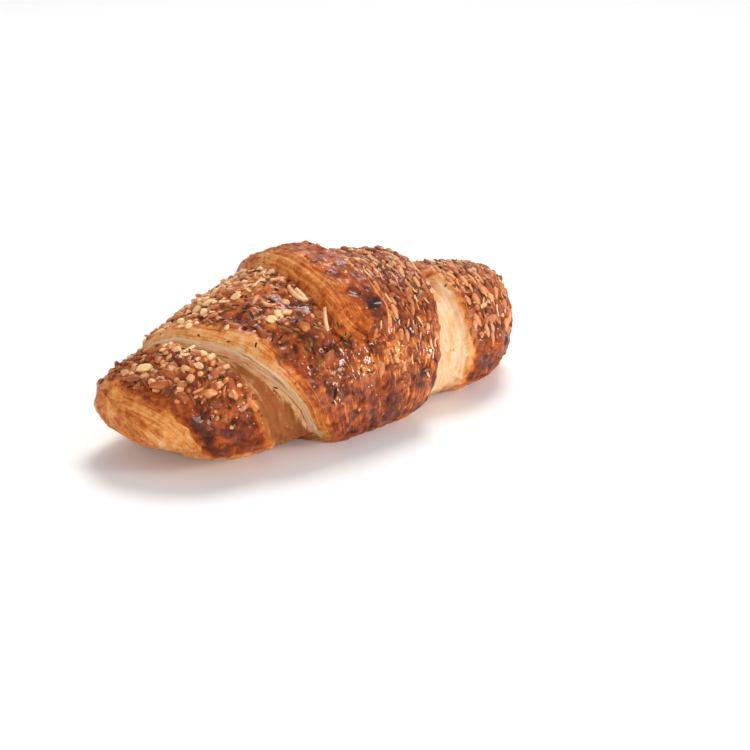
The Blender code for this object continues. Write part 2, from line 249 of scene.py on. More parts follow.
def edge_line(turn, at_top, front_rate, back_rate):
    """Where a wrap's edge lies along the roll: it winds, and closes on itself across the underside."""
    turn = turned(turn)
    front = at_top + front_rate * np.clip(turn, 0.0, UNDER_FRONT)
    back = at_top + back_rate * np.clip(turn, UNDER_BACK, 0.0)
    across = smooth(UNDER_FRONT, UNDER_BACK + 360.0, np.where(turn > 0.0, turn, turn + 360.0))
    below = mixed(at_top + front_rate * UNDER_FRONT, at_top + back_rate * UNDER_BACK, across)
    return np.where((turn > UNDER_FRONT) | (turn < UNDER_BACK), below, np.where(turn >= 0.0, front, back))


def core_edge(turn, side):
    """Where the outer turn ends and the core shows."""
    turn = turned(turn)
    onwards = np.where(turn < -100.0, turn + 360.0, turn)
    wound = smooth(20.0, 130.0, onwards) - smooth(150.0, 230.0, onwards)
    return side * (CORE_EDGE - CORE_EDGE_WINDS * wound)


def wrap_edge(turn, side):
    """Where the middle wrap ends."""
    return edge_line(turn, *WRAP_EDGES[side])


def gap_edge(turn, side):
    """Where the outer turn begins to sink into the pale gap."""
    return edge_line(turn, *GAP_EDGES[side])


def fullness(x):
    return np.clip(1.0 - (x / HALF_LENGTH) ** 2, 0.0, 1.0)


def spine(x):
    """How far forward or back the roll's middle line lies."""
    full = fullness(x)
    back = by_side(x, TIP_BACK) * (1.0 - full)
    forward = by_side(x, FORWARD_SWAY) * 4.0 * full * (1.0 - full)
    return BALANCE + back - forward


def on_spine(x, height):
    """The point on the roll's middle line at x, at a height."""
    return (float(x), float(spine(x)), float(height))


def crags(points, seed):
    """Craggy relief of glazed, strewn crust in millimetres, about -1 to 1."""
    wrinkles = noise_at(points / (4.6 * MM), seed)
    bumps = noise_at(points / (2.4 * MM), seed + 3.0)
    pits = noise_at(points / (1.3 * MM), seed + 5.0)
    ridges = 0.30 - np.abs(noise_at(points / (3.6 * MM), seed + 7.0)) * 1.3
    return 0.85 * wrinkles + 0.62 * bumps + 0.20 * pits + 0.60 * ridges


def section(x, turn, rise, share=1.0):
    """The point at turn on the cross-section at x, rise outside the outer turn's own outline."""
    full = fullness(x)
    half_width = ROLL_HALF_WIDTH * full ** by_side(x, WIDTH_POWER) * share + rise
    tip = by_side(x, TIP_HEIGHT)
    top = tip + (ROLL_TOP - tip) * full ** by_side(x, TOP_POWER) * share + rise
    underside = tip - (tip + BELOW_TRAY) * full ** by_side(x, UNDERSIDE_POWER) * share - 0.3 * rise
    axis = underside + AXIS_SHARE * (top - underside)
    sine, cosine = np.sin(np.radians(turn)), np.cos(np.radians(turn))
    power = 2.0 / np.where(cosine >= 0.0, UPPER_SQUARENESS, LOWER_SQUARENESS)
    y = spine(x) - half_width * np.sign(sine) * np.abs(sine) ** power
    reach = np.where(cosine >= 0.0, top - axis, axis - underside)
    z = axis + reach * np.sign(cosine) * np.abs(cosine) ** power
    return np.stack(np.broadcast_arrays(x, y, z), axis=-1)


def quarter_round(distance, width):
    """0 at an edge, 1 from width on, rising like a quarter of an ellipse."""
    t = np.clip(distance / width, 0.0, 1.0)
    return np.sqrt(1.0 - (1.0 - t) ** 2)


def lip_height(distance):
    """How the cut edge rises: softened steps, one for each thick layer of dough."""
    share = np.clip(distance / LIP_WIDTH, 0.0, 1.0)
    stepped = np.interp(share, [place for place, _ in LIP_STEPS], [height for _, height in LIP_STEPS])
    return mixed(stepped, quarter_round(share, 1.0), 0.45)


def gap_sink(x, turn):
    """How far the outer turn sinks in the pale gaps."""
    left = smooth(0.0, GAP_SLOPE, x - gap_edge(turn, LEFT))
    right = smooth(0.0, GAP_SLOPE, gap_edge(turn, RIGHT) - x)
    return -GAP_DEPTH * left * right


def wrap_rise(x):
    return WRAP_RISE + WRAP_CROWN * np.clip(1.0 - (x / WRAP_CROWN_REACH) ** 2, -0.2, 1.0)


def tongue_middle(turn):
    """Where the tongue's middle lies along the roll."""
    return TONGUE_X + TONGUE_DRIFT * smooth(0.0, 70.0, -np.asarray(turn, float))


def tongue_half_width(turn):
    """The tongue's half width at a turn angle: broad behind, with a round end in front."""
    back = 1.0 - smooth(TONGUE_START, 0.0, turn)
    return (TONGUE_HALF_WIDTH + TONGUE_SPREAD * back) * quarter_round(TONGUE_END - turn, TONGUE_ROUND)


def on_tongue(x, turn, margin=0.0):
    inside = TONGUE_START < turn < TONGUE_END
    return inside and abs(x - tongue_middle(turn)) < tongue_half_width(turn) + margin


def noise_at(places, shift=0.0):
    """Smooth noise from about -1 to 1 at each place."""
    flat = (places + shift).reshape(-1, 3).tolist()
    return np.array([noise.noise(place) for place in flat]).reshape(places.shape[:-1])


def uneven(points, amount):
    """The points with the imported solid's lumps and blisters."""
    lump = noise_at(points / LUMP_SIZE) * LUMP_HEIGHT
    blister = np.abs(noise_at(points / BLISTER_SIZE + np.array((9.0, 0.0, 0.0)))) * BLISTER_HEIGHT
    outwards = points - np.array((0.0, 0.0, MIDDLE_HEIGHT))
    outwards[..., 0] = 0.0
    length = np.maximum(np.linalg.norm(outwards, axis=-1, keepdims=True), MM)
    return points + outwards / length * ((lump + blister) * amount)[..., None]


def outwards_at(points):
    """The direction away from the roll's middle, turning lengthwise at the tips."""
    x = points[..., 0]
    middle = np.stack([np.clip(x, -58.0 * MM, 58.0 * MM), spine(x), np.full_like(x, MIDDLE_HEIGHT)], axis=-1)
    away = points - middle
    return away / np.maximum(np.linalg.norm(away, axis=-1, keepdims=True), MM)


def raised(points, relief):
    """The points moved outwards by a relief in millimetres."""
    return points + outwards_at(points) * (relief * MM)[..., None]


def laid_flat(points, level):
    """The points with everything below a level pressed up to it, with a soft turn."""
    soft = 0.7 * MM
    height = points[..., 2] - level
    near = np.exp(-np.abs(height) / soft)
    points[..., 2] = level + np.maximum(height, 0.0) + soft * (np.log1p(near) - math.log(2.0) * near)
    return points


def spot(x, turn, at_x, at_turn, reach, turn_reach):
    """1 at a place on the roll, fading to 0 round it. What is along the roll is in millimetres."""
    return np.exp(-(((x / MM - at_x) / reach) ** 2) - ((turn - at_turn) / turn_reach) ** 2)


def grain_of(distance, turn):
    """Places for patterns that follow an edge: across it in millimetres, then round the roll."""
    angle = np.radians(turn)
    return np.stack(np.broadcast_arrays(distance / MM, 35.0 * np.sin(angle), 35.0 * np.cos(angle)), axis=-1)


def drawn_out(grain, across, along, shift=0.0):
    """Noise in long runs that follow an edge."""
    return noise_at(grain * np.array((across, along, along)), shift)


def deselect():
    bpy.ops.object.select_all(action="DESELECT")


def edit_all(*steps):
    """Runs edit mode operators, each with its options, on the whole of the active mesh."""
    bpy.ops.object.mode_set(mode="EDIT")
    for step, options in steps:
        bpy.ops.mesh.select_all(action="SELECT")
        step(**options)
    bpy.ops.object.mode_set(mode="OBJECT")


def merging(threshold):
    return bpy.ops.mesh.remove_doubles, {"threshold": threshold}


def facing_out():
    return bpy.ops.mesh.normals_make_consistent, {"inside": False}


def roughening(offset, uniform, seed):
    options = {"offset": offset, "uniform": uniform, "normal": 0.0, "seed": seed}
    return bpy.ops.transform.vertex_random, options


def added(name, primitive, **options):
    """A new primitive with nothing else selected."""
    deselect()
    primitive(**options)
    bpy.context.object.name = name
    bpy.context.object.data.name = name
    return bpy.context.object


def turns(count):
    return np.arange(count) * 360.0 / count - 180.0


def roll_up(name, grid, ends, traits):
    """Rolls a sheet up into a closed shell on a grid of points, with a point at either end.

    The traits are kept as attributes, for the material.
    """
    rows, around = grid.shape[:2]
    flat = bpy.ops.mesh.primitive_grid_add
    sheet = added(name, flat, x_subdivisions=around, y_subdivisions=rows + 1, size=1.0)
    places = np.empty(len(sheet.data.vertices) * 3, np.float32)
    sheet.data.vertices.foreach_get("co", places)
    places = places.reshape(-1, 3) + 0.5
    column = np.rint(places[:, 0] * around).astype(int) % around
    row = np.rint(places[:, 1] * (rows + 1)).astype(int)
    inner = np.clip(row - 1, 0, rows - 1)
    points = grid[inner, column]
    points[row == 0] = ends[0]
    points[row == rows + 1] = ends[1]
    sheet.data.vertices.foreach_set("co", points.astype(np.float32).ravel())
    for trait, values in traits.items():
        kind = "FLOAT_VECTOR" if values.ndim == 3 else "FLOAT"
        chosen = values[inner, column].astype(np.float32)
        layer = sheet.data.attributes.new(trait, kind, "POINT")
        layer.data.foreach_set("vector" if kind == "FLOAT_VECTOR" else "value", chosen.ravel())
    sheet.data.update()
    edit_all(merging(0.001 * MM), facing_out())
    bpy.ops.object.shade_smooth()
    return sheet


def hand_over(piece, material):
    """Gives a piece its material and its place in the frame."""
    piece.data.materials.clear()
    piece.data.materials.append(material)
    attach(piece, "root")
    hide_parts("croissant")


class Value:
    """An output in a material's nodes, with arithmetic that adds Math nodes."""

    def __init__(self, paint, socket):
        self.paint = paint
        self.socket = socket

    def __add__(self, other):
        return self.paint.maths("ADD", self, other)

    __radd__ = __add__

    def __sub__(self, other):
        return self.paint.maths("SUBTRACT", self, other)

    def __rsub__(self, other):
        return self.paint.maths("SUBTRACT", other, self)

    def __mul__(self, other):
        return self.paint.maths("MULTIPLY", self, other)

    __rmul__ = __mul__


class Paint:
    """A material under way: its nodes, and the shader that they feed."""

    def __init__(self, name):
        self.material = bpy.data.materials.new(name)
        self.material.use_nodes = True
        self.nodes = self.material.node_tree.nodes
        self.links = self.material.node_tree.links
        self.shader = self.nodes["Principled BSDF"]

    def feed(self, socket, value):
        if isinstance(value, Value):
            self.links.new(value.socket, socket)
        else:
            socket.default_value = value

    def node(self, kind, settings=None, values=None, output=0):
        """Adds a node: its settings first, then its sockets' values or links."""
        made = self.nodes.new(kind)
        for name, setting in (settings or {}).items():
            if name == "stops":
                stops = made.color_ramp.elements
                while len(stops) < len(setting):
                    stops.new(0.5)
                for stop, (place, colour) in zip(stops, setting):
                    stop.position = place
                    stop.color = (*colour, 1.0)
            else:
                setattr(made, name, setting)
        for name, value in (values or {}).items():
            self.feed(made.inputs[name], value)
        return Value(self, made.outputs[output])

    def maths(self, operation, first, second):
        return self.node("ShaderNodeMath", {"operation": operation}, {0: first, 1: second})

    def trait(self, name, output="Fac"):
        return self.node("ShaderNodeAttribute", {"attribute_name": name}, output=output)

    def places(self):
        return self.node("ShaderNodeTexCoord", output="Object")

    def grains(self, places, scale, detail, roughness):
        """Noise from 0 to 1 at a scale."""
        values = {"Vector": places, "Scale": scale, "Detail": detail, "Roughness": roughness}
        return self.node("ShaderNodeTexNoise", {"noise_dimensions": "3D"}, values)

    def stretched(self, places, factors):
        """The places, each direction multiplied by its own factor."""
        return self.node("ShaderNodeVectorMath", {"operation": "MULTIPLY"}, {0: places, 1: factors})

    def between(self, value, low, high):
        """0 at low, 1 at high, with an S-curve between them."""
        settings = {"interpolation_type": "SMOOTHSTEP"}
        return self.node("ShaderNodeMapRange", settings, {"Value": value, "From Min": low, "From Max": high})

    def shade(self, tone, stops):
        return self.node("ShaderNodeValToRGB", {"stops": stops}, {"Fac": tone})

    def blend(self, share, first, second):
        settings = {"data_type": "RGBA", "clamp_factor": True}
        return self.node("ShaderNodeMix", settings, {0: share, 6: first, 7: second}, output=2)

    def bump(self, height, strength, depth):
        values = {"Height": height, "Strength": strength, "Distance": depth}
        self.feed(self.shader.inputs["Normal"], self.node("ShaderNodeBump", values=values))

    def set(self, **sockets):
        for name, value in sockets.items():
            self.feed(self.shader.inputs[name.replace("_", " ")], value)


def crust_paint(name, crust):
    """The dough's finish, from pale torn dough to burnt crust and painted shade and light, by the piece's own
    traits.
    """
    paint = Paint(name)
    places = paint.places()
    grain = paint.trait("grain", "Vector")
    bake, cut, pale, streak = (paint.trait(key) for key in ("bake", "cut", "pale", "streak"))
    broad = paint.grains(places, 95.0, 4.0, 0.6)
    middle = paint.grains(places, 330.0, 6.0, 0.70)
    fine = paint.grains(places, 1500.0, 3.0, 0.6)
    layers = paint.grains(paint.stretched(grain, (1.15, 0.05, 0.05)), 1.0, 4.0, 0.66)
    runs = paint.grains(paint.stretched(grain, (0.55, 0.07, 0.07)), 1.0, 3.0, 0.6)
    crusty = 1.0 - 0.6 * pale
    tone = bake + crusty * (0.50 * (broad - 0.5) + 0.90 * (middle - 0.5)) + 0.22 * (fine - 0.5)
    tone = tone + (0.85 * cut + 0.75 * pale) * (layers - 0.5) + streak * 0.8 * (runs - 0.5)
    # Pale streaks along the runs: flaky fibres, and in part painted highlights on them.
    tone = tone - 0.42 * crusty * streak * paint.between(runs, 0.56, 0.64)
    tone = tone + 0.10 * crusty * paint.between(paint.grains(places, 260.0, 2.0, 0.5), 0.62, 0.72)
    browned, torn = (
        paint.shade(tone, [(place, getattr(crust, name)) for name, place in bakes.items()])
        for bakes in (CRUST_BAKES, TORN_BAKES)
    )
    gloss = paint.between(paint.grains(places, 120.0, 3.0, 0.6), 0.38, 0.62) * (1.0 - 0.85 * pale)
    gloss = gloss * (1.0 - 0.6 * cut) + 0.5 * streak * (1.0 - pale)
    paint.set(
        Base_Color=paint.blend(pale, browned, torn),
        Roughness=0.62 - 0.22 * gloss + 0.14 * (middle - 0.5),
        Specular_IOR_Level=0.08,
        Coat_Weight=crust.glaze * gloss,
        Coat_Roughness=0.11,
        Subsurface_Weight=0.06,
        Subsurface_Scale=0.003,
        Subsurface_Radius=(1.0, 0.45, 0.2),
    )
    height = 0.55 * middle + 0.22 * fine + (0.75 * cut + pale) * layers + streak * 0.7 * runs
    paint.bump(height, 0.75, 0.0011)
    return paint.material


def topping_paint(name, stops, coat, roughness, rough_scale):
    """A strewn thing's finish: each one has its own tint, darker in places where it browned."""
    paint = Paint(name)
    places = paint.places()
    tint = paint.trait("tint")
    toasted = paint.grains(places, rough_scale, 4.0, 0.6)
    fine = paint.grains(places, 2600.0, 2.0, 0.6)
    tone = tint + 0.85 * (toasted - 0.5) + 0.3 * (fine - 0.5)
    paint.set(
        Base_Color=paint.shade(tone, stops),
        Roughness=roughness,
        Specular_IOR_Level=0.12,
        Coat_Weight=coat,
        Coat_Roughness=0.18,
        Subsurface_Weight=0.05,
        Subsurface_Scale=0.002,
        Subsurface_Radius=(1.0, 0.5, 0.25),
    )
    paint.bump(0.6 * toasted + 0.4 * fine, 0.5, 0.0005)
    return paint.material


def toasted_stops(colour, darker, lighter, middle):
    """A ramp from a colour's darkly toasted form to its pale form."""
    dark = [part * share for part, share in zip(colour, darker)]
    light = [min(1.0, part * share) for part, share in zip(colour, lighter)]
    return ((0.0, dark), (middle, list(colour)), (1.0, light))


def tip_places(side, reach, spacing):
    """Places along the roll from near a tip inwards to reach, evenly spaced on the outline."""
    width = np.linspace(0.0, 1.0, 6000)
    x = HALF_LENGTH * np.sqrt(1.0 - width ** (1.0 / WIDTH_POWER[side]))
    length = np.concatenate([[0.0], np.cumsum(np.hypot(np.diff(x), np.diff(width * ROLL_HALF_WIDTH)))])
    inwards = np.interp(np.arange(spacing, length[-1], spacing), length, x)
    return side * inwards[inwards > reach]


def rows_across(low, high, lip, between, tucked):
    """Where a wrap's rows lie along the roll: tucked under at both edges, close on the lips, and between."""
    middle = low + lip[-1] + between[:, None] * (high - low - 2.0 * lip[-1])
    return np.vstack([low + tucked, low + lip[:, None], middle, high - lip[::-1, None], high - tucked])


def make_dough(name, finish, crust, points, level, ends, grain, bake, cut, pale=0.0, streak=0.0):
    """A closed shell of dough that rests at a level, with its traits and its finish."""
    traits = {"bake": bake, "cut": cut, "pale": pale, "streak": streak}
    traits = {trait: np.broadcast_to(values, points.shape[:2]) for trait, values in traits.items()}
    shell = roll_up(name, laid_flat(points, level), ends, {**traits, "grain": grain})
    hand_over(shell, crust_paint(finish, crust))


def make_core(crust):
    """The core of the roll, which shows its layers at the two tips."""
    left = tip_places(LEFT, 52.0 * MM, 0.62 * MM)
    right = tip_places(RIGHT, 52.0 * MM, 0.62 * MM)
    x = np.concatenate([left, np.linspace(-50.0, 50.0, 6) * MM, right[::-1]])
    x, turn = np.meshgrid(x, turns(SEGMENTS["core"]), indexing="ij")
    share = CORE_SHARE * (0.86 + 0.14 * smooth(58.0 * MM, 63.0 * MM, np.abs(x)))
    points = uneven(section(x, turn, 0.0, share), 0.4)
    grain = grain_of(np.abs(x) - np.abs(core_edge(turn, LEFT)), turn)
    layers = drawn_out(grain, 0.62, 0.05)
    folds = 0.25 - np.abs(drawn_out(grain, 0.17, 0.03, 2.0)) * 1.5
    wrinkle = noise_at(points / (5.0 * MM), 3.0)
    points = raised(points, 0.45 * layers + 0.7 * folds + 0.4 * wrinkle)
    under = smooth(105.0, 150.0, np.abs(turned(turn)))
    # Painted shade: the folds' hollows are browned darker.
    bake = 0.37 + 0.15 * np.exp(-(((turn + 10.0) / 38.0) ** 2)) + 0.05 * under - 0.10 * folds
    bake = bake + 0.08 * np.clip(noise_at(points / (14.0 * MM), 5.0), -1.0, 1.0)
    ends = [on_spine(side * HALF_LENGTH, TIP_HEIGHT[side]) for side in (LEFT, RIGHT)]
    make_dough("core", "core_crust", crust, points, 0.5 * MM, ends, grain, bake, 0.9 - 0.6 * under)


def make_outer_turn(crust):
    """The outer turn: the strewn crust of both ends and the pale torn gaps."""
    turn = turns(SEGMENTS["outer_turn"])
    low, high = core_edge(turn, LEFT), core_edge(turn, RIGHT)
    lip = CORE_LIP_WIDTH * (1.0 - np.cos(np.linspace(0.0, 0.5, 12) * math.pi))
    between = (np.linspace(0.0, 0.40, 96)[1:], np.linspace(0.44, 0.66, 6), np.linspace(0.69, 1.0, 76)[:-1])
    x = rows_across(low, high, lip, np.concatenate(between), MM)
    lips, tucked = len(lip) + 1, [0, -1]
    rise = gap_sink(x, turn)
    rise[:lips] = 0.0
    rise[-lips:] = 0.0
    rise[tucked] = -3.0 * MM
    share = np.ones((len(x), 1))
    share[1:lips, 0] = mixed(CORE_SHARE, 1.0, quarter_round(lip, CORE_LIP_WIDTH))
    share[-lips:-1] = share[1:lips][::-1]
    share[tucked] = 0.75
    angle = np.broadcast_to(turn, x.shape)
    points = uneven(section(x, angle, rise, share), 1.0)
    on_left = x < 0.0
    into_left = (x - gap_edge(angle, LEFT)) / MM
    into_right = (gap_edge(angle, RIGHT) - x) / MM
    patch = noise_at(points / (9.0 * MM), 2.0)
    left_gap = smooth(-1.5, 2.5, into_left + 2.5 * patch)
    right_gap = smooth(-1.0, 1.5, into_right + 1.2 * patch)
    gap = np.where(on_left, left_gap, right_gap)
    grain = grain_of(np.where(on_left, into_left, into_right) * MM, angle)
    folds = noise_at(points / (8.0 * MM), 4.0)
    creases = 0.3 - np.abs(drawn_out(grain, 0.42, 0.075, 0.9 * folds[..., None] + 9.0)) * 1.6
    crag = crags(points, 6.0)
    points = raised(points, (1.0 - gap) * crag + gap * (creases + 0.16 * crag))
    under = smooth(108.0, 150.0, np.abs(angle))
    # Painted shade: the left part's lower front is browned darker.
    shaded_low_front = smooth(50.0, 85.0, angle)
    # Painted shade: the crust's hollows, where the crags sink, are browned darker.
    crust_bake_and_shade = 0.70 + np.where(on_left, 0.13 * shaded_low_front, 0.07) + 0.08 * patch - 0.15 * crag
    to_core = np.minimum(x - low, high - x) / MM
    crust_bake_and_shade = crust_bake_and_shade - 0.20 * (1.0 - smooth(0.5, 2.6, to_core))
    near_gap = np.where(on_left, smooth(-4.5, 0.0, into_left), smooth(-2.0, 0.0, into_right))
    crust_bake_and_shade = mixed(crust_bake_and_shade, 0.42, 0.7 * near_gap)
    # The left gap is darker in its middle: browner torn dough, and painted shade under the overhanging wrap;
    # its crease hollows are painted shade too.
    left_gap_bake_and_shade = 0.52 - 0.16 * creases + 0.12 * patch - 0.41 * (1.0 - smooth(14.0, 40.0, angle))
    left_gap_bake_and_shade = mixed(left_gap_bake_and_shade, 0.16, 1.0 - smooth(0.3, 2.6, (wrap_edge(angle, LEFT) - x) / MM))
    high_up = 1.0 - smooth(8.0, 32.0, angle)
    rim = 1.0 - smooth(0.8, 3.0, into_right)
    # Painted shade: the right gap's crease hollows are darker.
    right_gap_bake_and_shade = mixed(0.10, 0.36, np.maximum(high_up, rim)) - 0.10 * creases
    golden = (1.0 - on_left) * np.maximum(0.9 * rim, 0.7 * high_up)
    # The left tip's back shows the core's layers, and is painted lighter as painted light where it lies in
    # shade.
    round_back = np.maximum(smooth(40.0, 75.0, -angle), smooth(118.0, 140.0, angle))
    bare_and_lit = round_back * (1.0 - smooth(12.0, 22.0, to_core + 4.0 * patch)) * on_left
    bake = mixed(crust_bake_and_shade, np.where(on_left, left_gap_bake_and_shade, right_gap_bake_and_shade), gap)
    bake = mixed(mixed(bake, 0.47, under), 0.31, bare_and_lit)
    near_gap = near_gap * (1.0 - gap)
    cut = np.maximum(0.25 * near_gap, 0.7 * bare_and_lit)
    pale = gap * (1.0 - under) * (1.0 - golden)
    streak = np.where(on_left, 0.25, 0.5) * gap + 0.2 * near_gap
    ends = [on_spine(side * 70.0 * MM, TIP_HEIGHT[side]) for side in (LEFT, RIGHT)]
    make_dough("outer_turn", "outer_crust", crust, points, 0.3 * MM, ends, grain, bake, cut, pale, streak)


def make_middle_wrap(crust):
    """The middle wrap, with its laminated cut edge on either side."""
    turn = turns(SEGMENTS["middle_wrap"])
    wander = np.radians(turn)[:, None] * np.array((0.0, 0.0, 1.0))
    ragged = noise_at(wander * 4.0, 1.5) * 0.7 * MM + noise_at(wander * 17.0, 2.5) * 0.35 * MM
    ragged = ragged * (1.0 - smooth(150.0, 178.0, np.abs(turn)))
    low, high = wrap_edge(turn, LEFT) + ragged, wrap_edge(turn, RIGHT) - ragged
    lip = LIP_WIDTH * np.linspace(0.0, 1.0, 22) ** 1.6
    x = rows_across(low, high, lip, np.linspace(0.0, 1.0, 130)[1:-1], 1.5 * MM)
    rise = mixed(-LIP_FOOT, wrap_rise(x), lip_height(np.minimum(x - low, high - x)))
    rise[[0, -1]] = -9.0 * MM
    angle = np.broadcast_to(turn, x.shape)
    points = uneven(section(x, angle, rise), 1.0)
    from_left, from_right = (x - low) / MM, (high - x) / MM
    grain = grain_of((x - low) / (high - low) * 95.0 * MM + rise, angle)
    patch = noise_at(points / (10.0 * MM), 2.0)
    band_width = 8.2 - 4.2 * smooth(0.0, 95.0, angle)
    band = 1.0 - smooth(band_width - 2.2, band_width + 2.0, from_left + 1.8 * patch)
    right_band_and_light = 1.0 - smooth(1.2, 3.4, from_right + 1.2 * patch)
    cut = np.clip(band + right_band_and_light, 0.0, 1.0)
    layers = drawn_out(grain, 0.95, 0.045, 3.0)
    runs = drawn_out(grain, 0.30, 0.055, 7.0)
    crag = crags(points, 16.0)
    below_tongue = smooth(58.0, 72.0, angle) * (1.0 - smooth(100.0, 125.0, angle))
    right_part = smooth(-2.0, 14.0, x / MM)
    running = np.clip(0.25 + 0.6 * below_tongue + 0.65 * right_part, 0.0, 1.0) * (1.0 - 0.6 * cut)
    relief = (1.0 - cut) * crag * (1.0 - 0.5 * running) + 0.26 * cut * layers + 0.55 * running * runs
    points = raised(points, relief)
    under = smooth(112.0, 150.0, np.abs(angle))
    # Painted shade: the lower front, away from the right part, is browned darker.
    shaded_low_front = smooth(65.0, 95.0, angle) * (1.0 - right_part)
    # Partly painted shade: the crust among the kernels on the right is darker, as well as darker crust.
    among_kernels = right_part * (1.0 - smooth(50.0, 80.0, angle))
    # Painted shade: the crust's hollows, where the crags sink, are browned darker.
    bake = 0.73 + 0.09 * among_kernels + 0.07 * shaded_low_front + 0.09 * patch - 0.15 * crag
    bake = bake + 0.10 * spot(x, angle, -26.0, 34.0, 9.0, 16.0)
    fold = spot(x, 0.0, 3.2, 0.0, 2.4, 1.0) * smooth(50.0, 60.0, angle) * (1.0 - smooth(72.0, 86.0, angle))
    bake = bake - 0.30 * fold - 0.13 * spot(x, angle, -6.0, 74.0, 9.0, 11.0)
    bake = bake - 0.30 * spot(x, angle, -33.0, -12.0, 13.0, 22.0)
    graded = 0.27 + 0.18 * smooth(1.0, 7.0, from_left) + 0.16 * smooth(50.0, 85.0, angle)
    bake = mixed(bake, graded, band)
    bake = mixed(bake, 0.13, 1.0 - smooth(0.4, 1.3, from_left))
    # The right cut edge is paler: its layers, and painted light on the lip, which lies in shade.
    bake = mixed(bake, 0.46, 0.8 * right_band_and_light)
    bake = mixed(bake, 0.18, 1.0 - smooth(0.2, 0.9, from_right))
    bake = mixed(bake, 0.48, under)
    pale = 1.0 - smooth(0.4, 1.2, np.minimum(from_left, from_right + 0.5))
    streak = 0.9 * running * (1.0 - under)
    ends = [on_spine(edge.mean(), MIDDLE_HEIGHT) for edge in (low, high)]
    make_dough("middle_wrap", "wrap_crust", crust, points, 0.0, ends, grain, bake, cut, pale, streak)


def make_tongue(crust):
    """The tongue: the dough's point, with layers along its rim and a burnt spot near its tip."""
    over, beneath = 84, 14
    edge_to_edge = np.sin(np.linspace(-0.5, 0.5, over) * math.pi)
    return_way = np.linspace(1.0, -1.0, beneath + 2)[1:-1]
    across = np.concatenate([edge_to_edge, return_way])[None, :]
    straight = np.linspace(TONGUE_START, TONGUE_END - TONGUE_ROUND, 210)
    ending = TONGUE_END - TONGUE_ROUND * (1.0 - np.sin(np.linspace(0.0, 0.5, 38)[1:] * math.pi))
    turn = np.concatenate([straight, ending])[:-1][:, None]
    half = tongue_half_width(turn)
    x = tongue_middle(turn) + across * half
    rim = quarter_round(half - np.abs(across) * half, np.minimum(TONGUE_LIP, half))
    start = smooth(TONGUE_START - 5.0, TONGUE_START + 50.0, turn)
    front = quarter_round((TONGUE_END - turn) * 0.8 * MM, TONGUE_LIP)
    above = (np.arange(over + beneath) < over)[None, :]
    top = wrap_rise(x) - MM + (TONGUE_RISE + MM) * rim * start * front
    angle = np.broadcast_to(turn, x.shape)
    points = uneven(section(x, angle, np.where(above, top, wrap_rise(x) - 6.0 * MM)), 1.0)
    from_rim = half * (1.0 - np.abs(across)) / MM
    grain = np.stack(np.broadcast_arrays(from_rim, angle * 0.6, x / MM), axis=-1)
    patch = noise_at(points / (7.0 * MM), 2.0)
    band_width = np.where(across < 0.0, 9.5, 2.8) + 3.5 * smooth(30.0, 58.0, angle)
    ragged = from_rim + 3.5 * patch + 1.2 * noise_at(points / (3.0 * MM), 12.0)
    shown = smooth(-60.0, -20.0, angle)
    band = (1.0 - smooth(band_width - 4.0, band_width + 2.0, ragged)) * shown
    layers = drawn_out(grain, 0.85, 0.05, 3.0)
    crag = crags(points, 26.0)
    relief = (1.0 - 0.6 * band) * crag * 0.8 + 0.50 * band * layers
    points = raised(points, np.where(above, relief, 0.0))
    # Painted shade: the crust's hollows, where the crags sink, are browned darker.
    bake = 0.64 + 0.10 * patch + 0.15 * spot(x, angle, -1.0, 38.0, 6.0, 14.0) - 0.14 * crag
    bake = mixed(bake, 0.44 + 0.17 * smooth(20.0, 48.0, angle), 0.85 * band)
    rim_light = (across > 0.0) * (1.0 - smooth(1.8 + 0.8 * (angle < 30.0), 3.6, from_rim + patch))
    bake = mixed(bake, 0.25, 0.9 * rim_light * shown)
    bake = bake + 0.31 * spot(x + 1.5 * patch * MM, angle + 4.0 * crag, 0.5, 46.0, 3.0, 5.0)
    first = points[0].mean(axis=0) * np.array((1.0, 1.0, 0.0)) + np.array((0.0, 0.0, 2.0 * MM))
    last = section(np.array(tongue_middle(TONGUE_END)), np.array(TONGUE_END), 3.0 * MM)
    make_dough("tongue", "tongue_crust", crust, points, 0.15 * MM, (first, last), grain, bake, band)


def strewn(x, turn):
    """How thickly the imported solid's kernels lie at a place on the crust, from 0 to 1."""
    if on_tongue(x, turn, 1.5 * MM):
        return 0.10
    if not core_edge(turn, LEFT) + 4.0 * MM < x < core_edge(turn, RIGHT) - 4.0 * MM:
        return 0.0
    open_left = gap_edge(turn, LEFT) - MM < x < wrap_edge(turn, LEFT) + LIP_WIDTH
    open_right = wrap_edge(turn, RIGHT) - 0.4 * LIP_WIDTH < x < gap_edge(turn, RIGHT) + MM
    if open_left or open_right:
        return 0.0
    front = 1.0 - float(smooth(75.0, 118.0, abs(turn)))
    if wrap_edge(turn, LEFT) < x < TONGUE_X:
        return front * (1.0 - 0.7 * float(smooth(8.0, 42.0, turn)))
    return front


def crust_rise(x, turn):
    """How far the outermost dough at a place stands out from the outer turn."""
    if on_tongue(x, turn):
        return float(wrap_rise(x)) + TONGUE_RISE
    if wrap_edge(turn, LEFT) < x < wrap_edge(turn, RIGHT):
        return float(wrap_rise(x))
    return 0.0


def kernel_places():
    """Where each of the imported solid's kernels lies and how it is turned: the same seeded draw."""
    draw = random.Random(KERNEL_SEED)
    places = []
    while len(places) < KERNEL_COUNT:
        x = draw.uniform(-1.0, 1.0) * HALF_LENGTH
        turn = draw.uniform(-125.0, 125.0)
        chance, yaw, roundness = draw.random(), draw.uniform(0.0, math.pi), draw.random()
        if chance > strewn(x, turn):
            continue
        point = section(np.array(x), np.array(turn), crust_rise(x, turn))
        if any(np.linalg.norm(point - other[2]) < KERNEL_SPACING for other in places):
            continue
        places.append((x, turn, point, yaw, roundness))
    return places


